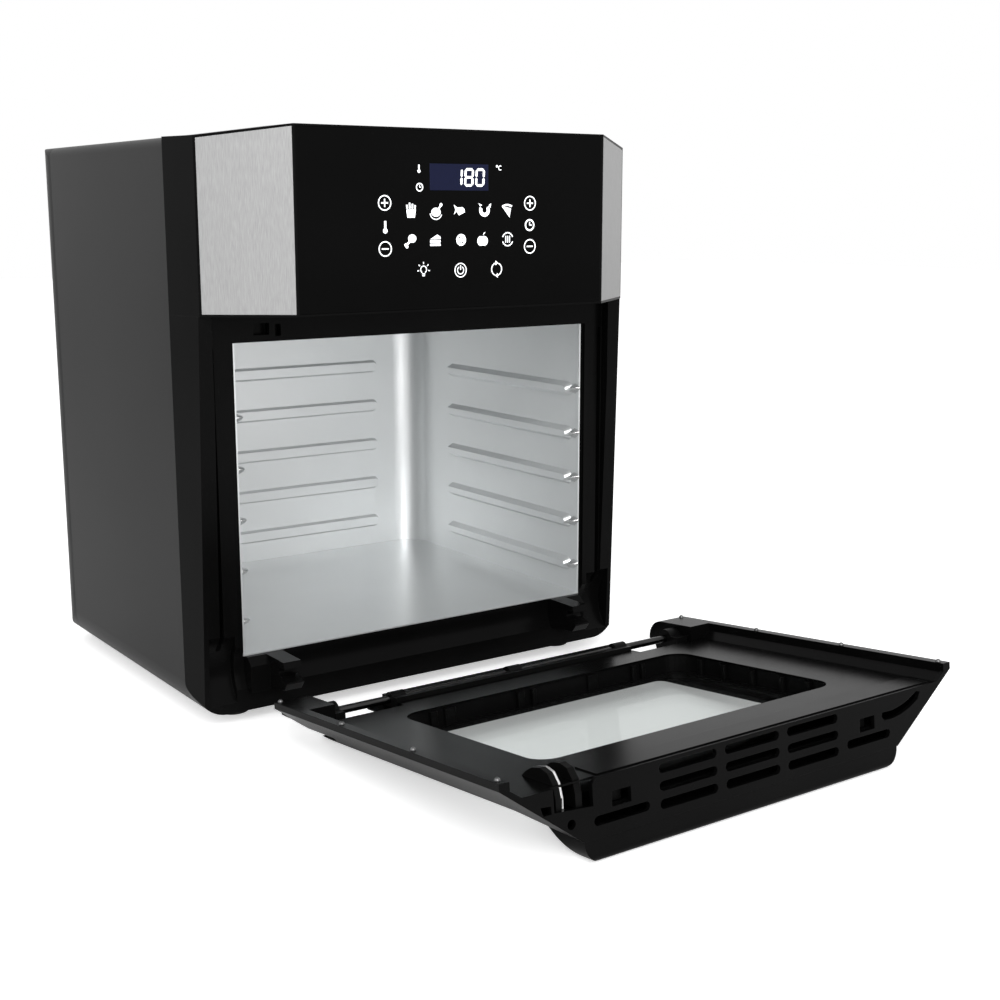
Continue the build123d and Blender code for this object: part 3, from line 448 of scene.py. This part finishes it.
sign(
    "sign_lamp", -26.7, row_keys,
    arc(0, 1, 2.4, 1.8, -60, 300),
    bar(-1.1, -1.6, 1.1, -1.6, 0.6),
    bar(-0.9, -2.7, 0.9, -2.7, 0.6),
    *[ray(turn) for turn in (-10, 40, 90, 140, 190)],
)
sign(
    "sign_power", 0.4, row_keys,
    ring(0, 0, 4.5, 3.9),
    arc(0, 0, 2.6, 2.0, 120, 300),
    bar(0, 0.2, 0, 3.0, 0.7),
)
sign(
    "sign_turn", 27.7, row_keys,
    arc(0, 0, 4.2, 3.5, 100, 150),
    arc(0, 0, 4.2, 3.5, 280, 150),
    shape((-0.9, 5.4), (-0.9, 2.4), (1.2, 3.9)),
    shape((0.9, -5.4), (0.9, -2.4), (-1.2, -3.9)),
)

# The door's inner side: raised sheet, window frame, vent plate and hooks


def slab(name, loops, low, high, spot, slot):
    """A flat shape with holes on the door, from one level to another, put in place by a function."""
    built = bmesh.new()
    sides = []
    for level in (low, high):
        sides.append([[built.verts.new(spot(u, v, level)) for u, v in loop] for loop in loops])
    caps = tessellate_polygon([[Vector((u, v, 0)) for u, v in loop] for loop in loops])
    for level in sides:
        flat = [vertex for loop in level for vertex in loop]
        for corners in caps:
            built.faces.new([flat[index] for index in corners])
    for near, far in zip(*sides):
        for index in range(len(near)):
            after = (index + 1) % len(near)
            built.faces.new((near[index], near[after], far[after], far[index]))
    bmesh.ops.recalc_face_normals(built, faces=built.faces)
    data = bpy.data.meshes.new(name)
    built.to_mesh(data)
    built.free()
    made = place(name, data, finishes[slot].material, "door")
    return made


def flat_on_door(u, v, level):
    return door(u, level, v)


def across_door(u, v, level):
    return door(u, v, level)


def along_door(u, v, level):
    return door(level, v, u)


def oblong(x0, x1, z0, z1):
    return [(x0, z0), (x1, z0), (x1, z1), (x0, z1)]


def rounded(x0, x1, z0, z1, radius, steps=8):
    """An oblong with round corners, each of that many steps."""
    corners = (
        (x1 - radius, z1 - radius, 0),
        (x0 + radius, z1 - radius, 90),
        (x0 + radius, z0 + radius, 180),
        (x1 - radius, z0 + radius, 270),
    )
    points = []
    for x, z, start in corners:
        for step in range(steps + 1):
            turn = math.radians(start + 90 * step / steps)
            points.append((x + radius * math.cos(turn), z + radius * math.sin(turn)))
    return points


def capsule(x, z, length, width):
    """A slot whose ends are round all but a hair, so that no two points meet."""
    return rounded(x - length / 2, x + length / 2, z - width / 2, z + width / 2, width / 2 - 0.01)


def grown(box, by):
    return (box[0] - by, box[1] + by, box[2] - by, box[3] + by)


rim_inner = 158.0
rim_outer = 164.0
rim_top = 9.0
sheet_half = 150.6
sheet_top = -0.5
sheet_low = sheet_top - 1
sheet_end = 18.0
sheet_step = 10.0
plate_low = 216.4
plate_high = 219.0
opening = (-110.0, 110.0, 38.0, 178.0)
opening_corner = 13.0
pane_back = -17.3

# Sheet with a step down below the hinge bar, and a wing at both sides of it
bar_side = 94.0
lower_side = 93.6
lower_low = -5.5
lower_top = -4.6
lower_end = -18.0
wing_side = 105.5
wing_end = -8.0
sheet_outline = [
    (-sheet_half, sheet_end),
    (-bar_side, sheet_end),
    (-bar_side, sheet_step),
    (bar_side, sheet_step),
    (bar_side, sheet_end),
    (sheet_half, sheet_end),
    (sheet_half, plate_low),
    (-sheet_half, plate_low),
]
sheet_loops = [sheet_outline, rounded(*opening, opening_corner)[::-1]]
raised = slab("door_sheet_raised", sheet_loops, sheet_low, sheet_top, flat_on_door, "door_sheet")
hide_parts("door_inner_panel")
lower = oblong(-lower_side, lower_side, lower_end, sheet_step + 1)
slab("door_sheet_lower", [lower], lower_low, lower_top, flat_on_door, "door_sheet")
for side in (-1, 1):
    wing = oblong(side * lower_side, side * wing_side, wing_end, sheet_end + 0.6)
    slab("door_sheet_wing_%d" % side, [wing], lower_low, lower_top, flat_on_door, "door_sheet")
riser = oblong(-lower_side, lower_side, lower_top, sheet_low)
slab("door_sheet_step", [riser], sheet_step, sheet_step + 0.9, across_door, "door_sheet")

# Window frame: wall, flange on the pane, lip and ribs
wall_in = 1.6
wall_out = 3.6
flange_reach = 8.5
flange_corner = 9.0
lip_reach = 5.0
lip_corner = 10.0
wall_low = pane_back + 3.2
wall_top = sheet_top - 1.1
flange_low = pane_back + 3.0
flange_top = pane_back + 4.4
lip_top = pane_back + 5.4
rib_top = sheet_top - 2.4
rib_corner = 0.8
side_rib_depth = 3.0
side_rib_half = 2.0
outer_loop = rounded(*grown(opening, wall_out), opening_corner + wall_out)
inner_loop = rounded(*grown(opening, wall_in), opening_corner + wall_in)[::-1]
flange_loop = rounded(*grown(opening, -flange_reach), flange_corner)[::-1]
lip_loop = rounded(*grown(opening, -lip_reach), lip_corner)
wall_loops = [outer_loop, inner_loop]
frame_wall = slab("door_frame_wall", wall_loops, wall_low, wall_top, flat_on_door, "black_moulding")
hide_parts("door_window_frame")
slab("door_frame_flange", [outer_loop, flange_loop], flange_low, flange_top, flat_on_door, "black_moulding")
slab("door_frame_lip", [lip_loop, flange_loop], flange_top, lip_top, flat_on_door, "gloss_moulding")

# Ribs as (x, width, reach) on the far wall, and by their z on the right wall
far_wall = opening[2] - wall_in
far_ribs = (
    (-86, 5, 2.6),
    (-74, 8, 2.2),
    (-22, 5, 3.4),
    (-12, 3, 3.8),
    (36, 8, 2.2),
    (70, 3, 3.4),
    (78, 3, 3.4),
)
for number, (x, width, reach) in enumerate(far_ribs):
    rib = rounded(x - width / 2, x + width / 2, far_wall, far_wall + reach, rib_corner, 3)
    slab("door_frame_rib_%d" % number, [rib], flange_top, rib_top, flat_on_door, "black_moulding")
right_wall = opening[1] + wall_in
for number, z in enumerate((60, 82, 108, 134, 156)):
    ends = (z - side_rib_half, z + side_rib_half)
    rib = rounded(right_wall - side_rib_depth, right_wall, *ends, rib_corner, 3)
    slab("door_frame_side_rib_%d" % number, [rib], flange_top, rib_top, flat_on_door, "black_moulding")

# Shell without its end wall, which the vent plate stands for
shell_node = nodes["door_shell"]
shell = bpy.data.objects.new("door_shell_dressed", shell_node.data.copy())
bpy.context.scene.collection.objects.link(shell)
shell.matrix_world = shell_node.matrix_world.copy()
cut = bmesh.new()
cut.from_mesh(shell.data)
back = shell.matrix_world.inverted()
cut_point = back @ door(0, 0, plate_low)
cut_normal = (back @ door(0, 0, plate_low + 1) - cut_point).normalized()
everything = cut.verts[:] + cut.edges[:] + cut.faces[:]
bmesh.ops.bisect_plane(cut, geom=everything, plane_co=cut_point, plane_no=cut_normal, clear_outer=True)
cut.to_mesh(shell.data)
cut.free()
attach(shell, "door")
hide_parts("door_shell")

# Vent plate: the end wall with its rims, hook notch and holes
hook_left = -133.0
hook_right = -109.0
hook_foot = -14.5
foot_half = 115.4
foot_level = -31.8
rim_edge = 5.0
rim_bend = 4.2
wall_end = 151.5
plate_outline = [
    (foot_half, foot_level),
    (rim_outer, rim_edge),
    (rim_outer, rim_top),
    (rim_inner, rim_top),
    (rim_inner, rim_bend),
    (wall_end, sheet_top),
    (hook_right + 3, sheet_top),
    (hook_right, sheet_top - 3),
    (hook_right, hook_foot),
    (hook_left, hook_foot + 2),
    (hook_left, sheet_top),
    (-wall_end, sheet_top),
    (-rim_inner, rim_bend),
    (-rim_inner, rim_top),
    (-rim_outer, rim_top),
    (-rim_outer, rim_edge),
    (-foot_half, foot_level),
]
vent_pitch = 46
vent_rows = (-5.4, -14.8, -24.2)
latch_places = (-91, 90)
vents = [capsule(x, y, 40, 5.2) for x in (-vent_pitch, 0, vent_pitch) for y in vent_rows]
vents += [capsule(x, -22.6, 36, 5.0) for x in (-91, 91)]
latch_holes = [oblong(x - 6.2, x + 6.2, -17.6, -9.8) for x in latch_places]

# The curved slot follows a bend, half its height to either side, and ends in a point
bend = [(104.5, -12.2), (112.0, -12.4), (119.5, -11.2), (127.0, -8.8), (134.0, -5.2)]
bend_half = 2.4
lower_edge = [(x + 0.4 * (x - 119) / 30, y - bend_half) for x, y in bend]
upper_edge = [(x - 1.2, y + bend_half) for x, y in bend[::-1]]
bent_slot = lower_edge + [(136.2, -3.6)] + upper_edge + [(102.4, -11.8)]
corner_hole = [(-141.0, -8.0), (-139.6, -12.6), (-134.6, -12.6), (-134.6, -8.6)]
round_hole = ring_points(-123.0, -20.6, 2.6, 12)
holes = [hole[::-1] for hole in vents + latch_holes + [bent_slot, corner_hole, round_hole]]
slab("door_vent_plate", [plate_outline] + holes, plate_low, plate_high, across_door, "gloss_moulding")
ledge = oblong(-104.0, 149.0, 199.0, plate_low)
slab("door_vent_ledge", [ledge], sheet_top, sheet_top + 0.7, flat_on_door, "gloss_moulding")
for number, x in enumerate(latch_places):
    tab = rounded(x - 4, x + 4, -16.8, -10.6, 1.0, 3)
    slab("door_latch_tab_%d" % number, [tab], plate_low - 5, plate_low - 3, across_door, "black_moulding")

# Hooks beside the notch, one with a painted highlight along its edge
fin = [
    (188.0, sheet_low),
    (192.0, 2.0),
    (198.0, 5.4),
    (205.0, 6.6),
    (211.0, 5.0),
    (215.0, 0.0),
    (216.6, -7.0),
    (216.6, -14.0),
    (200.0, -14.0),
]
hook_half = 2.0
for number, x in enumerate((-128.0, -116.0)):
    hook = slab("door_hook_%d" % number, [fin], x - hook_half, x + hook_half, along_door, "black_moulding")
    if number == 0:
        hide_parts("latch_hooks")
# A thin strip of bright steel along the first hook's curved edge: a painted highlight on the black hook
highlight_points = [(z, y + 0.15) for z, y in fin[2:8]]
highlight_band = highlight_points + [(z - 0.9, y - 0.3) for z, y in highlight_points[::-1]]
slab("door_hook_edge", [highlight_band], -126.6, -125.4, along_door, "bright_steel")

# Stage: white floor, even world, soft lamps
floor = Finish("floor_white").set(Roughness=0.6, Specular_IOR_Level=0.1)
floor.colours(floor.noise(2), grey(0.97), grey(1.0))
seen_floor = floor.add("ShaderNodeLightPath")
lift = floor.add("ShaderNodeMapRange")
lift.inputs["To Max"].default_value = 0.5
floor.link(seen_floor, "Is Camera Ray", lift, "Value")
floor.link(lift, "Result", floor.shader, "Emission Strength")
floor.shader.inputs["Emission Color"].default_value = (1, 1, 1, 1)
floor_data = bpy.data.meshes.new("floor")
floor_half = 6.0
floor_corners = [(x, y, 0) for x, y in oblong(-floor_half, floor_half, -floor_half, floor_half)]
floor_data.from_pydata(floor_corners, [], [(0, 1, 2, 3)])
floor_object = bpy.data.objects.new("floor", floor_data)
bpy.context.scene.collection.objects.link(floor_object)
floor_data.materials.append(floor.material)

world = bpy.data.worlds.new("studio")
bpy.context.scene.world = world
world.use_nodes = True
sky = world.node_tree
background = sky.nodes["Background"]
light_path = sky.nodes.new("ShaderNodeLightPath")
seen = sky.nodes.new("ShaderNodeMath")
seen.operation = "MAXIMUM"
sky.links.new(light_path.outputs["Is Camera Ray"], seen.inputs[0])
sky.links.new(light_path.outputs["Is Transmission Ray"], seen.inputs[1])
seen_too = sky.nodes.new("ShaderNodeMath")
seen_too.operation = "MAXIMUM"
sky.links.new(seen.outputs[0], seen_too.inputs[0])
sky.links.new(light_path.outputs["Is Glossy Ray"], seen_too.inputs[1])
level = sky.nodes.new("ShaderNodeMapRange")
level.inputs["To Min"].default_value = 0.7
level.inputs["To Max"].default_value = 1.0
sky.links.new(seen_too.outputs[0], level.inputs["Value"])
sky.links.new(level.outputs["Result"], background.inputs["Strength"])
background.inputs["Color"].default_value = (1, 1, 1, 1)


def lamp(name, spot, aim, size, power):
    data = bpy.data.lights.new(name, "AREA")
    data.shape = "DISK"
    data.size = size
    data.energy = power
    made = bpy.data.objects.new(name, data)
    bpy.context.scene.collection.objects.link(made)
    made.location = spot
    made.rotation_mode = "QUATERNION"
    made.rotation_quaternion = (aim - Vector(spot)).to_track_quat("-Z", "Y")


middle = oven(0, 120, 150)
lamp("key", (-1.0, -1.7, 1.5), middle, 1.2, 26)
lamp("front", (-0.5, -2.4, 0.7), middle, 1.0, 15)
lamp("side", (-2.0, 0.4, 1.0), middle, 1.2, 8)

# Camera, from the fit to the photograph
eye = oven(-510.2, -765.2, 317.9)
heading = math.radians(35.24)
dip = math.radians(11.24)
camera_data = bpy.data.cameras.new("camera")
camera_data.sensor_width = 36
camera_data.lens = 52.77
camera = bpy.data.objects.new("camera", camera_data)
bpy.context.scene.collection.objects.link(camera)
camera.location = eye
level_part = math.cos(dip)
ahead = Vector((math.sin(heading) * level_part, math.cos(heading) * level_part, -math.sin(dip)))
camera.rotation_mode = "QUATERNION"
camera.rotation_quaternion = ahead.to_track_quat("-Z", "Y")
bpy.context.scene.camera = camera

bpy.context.scene.view_settings.view_transform = "Standard"
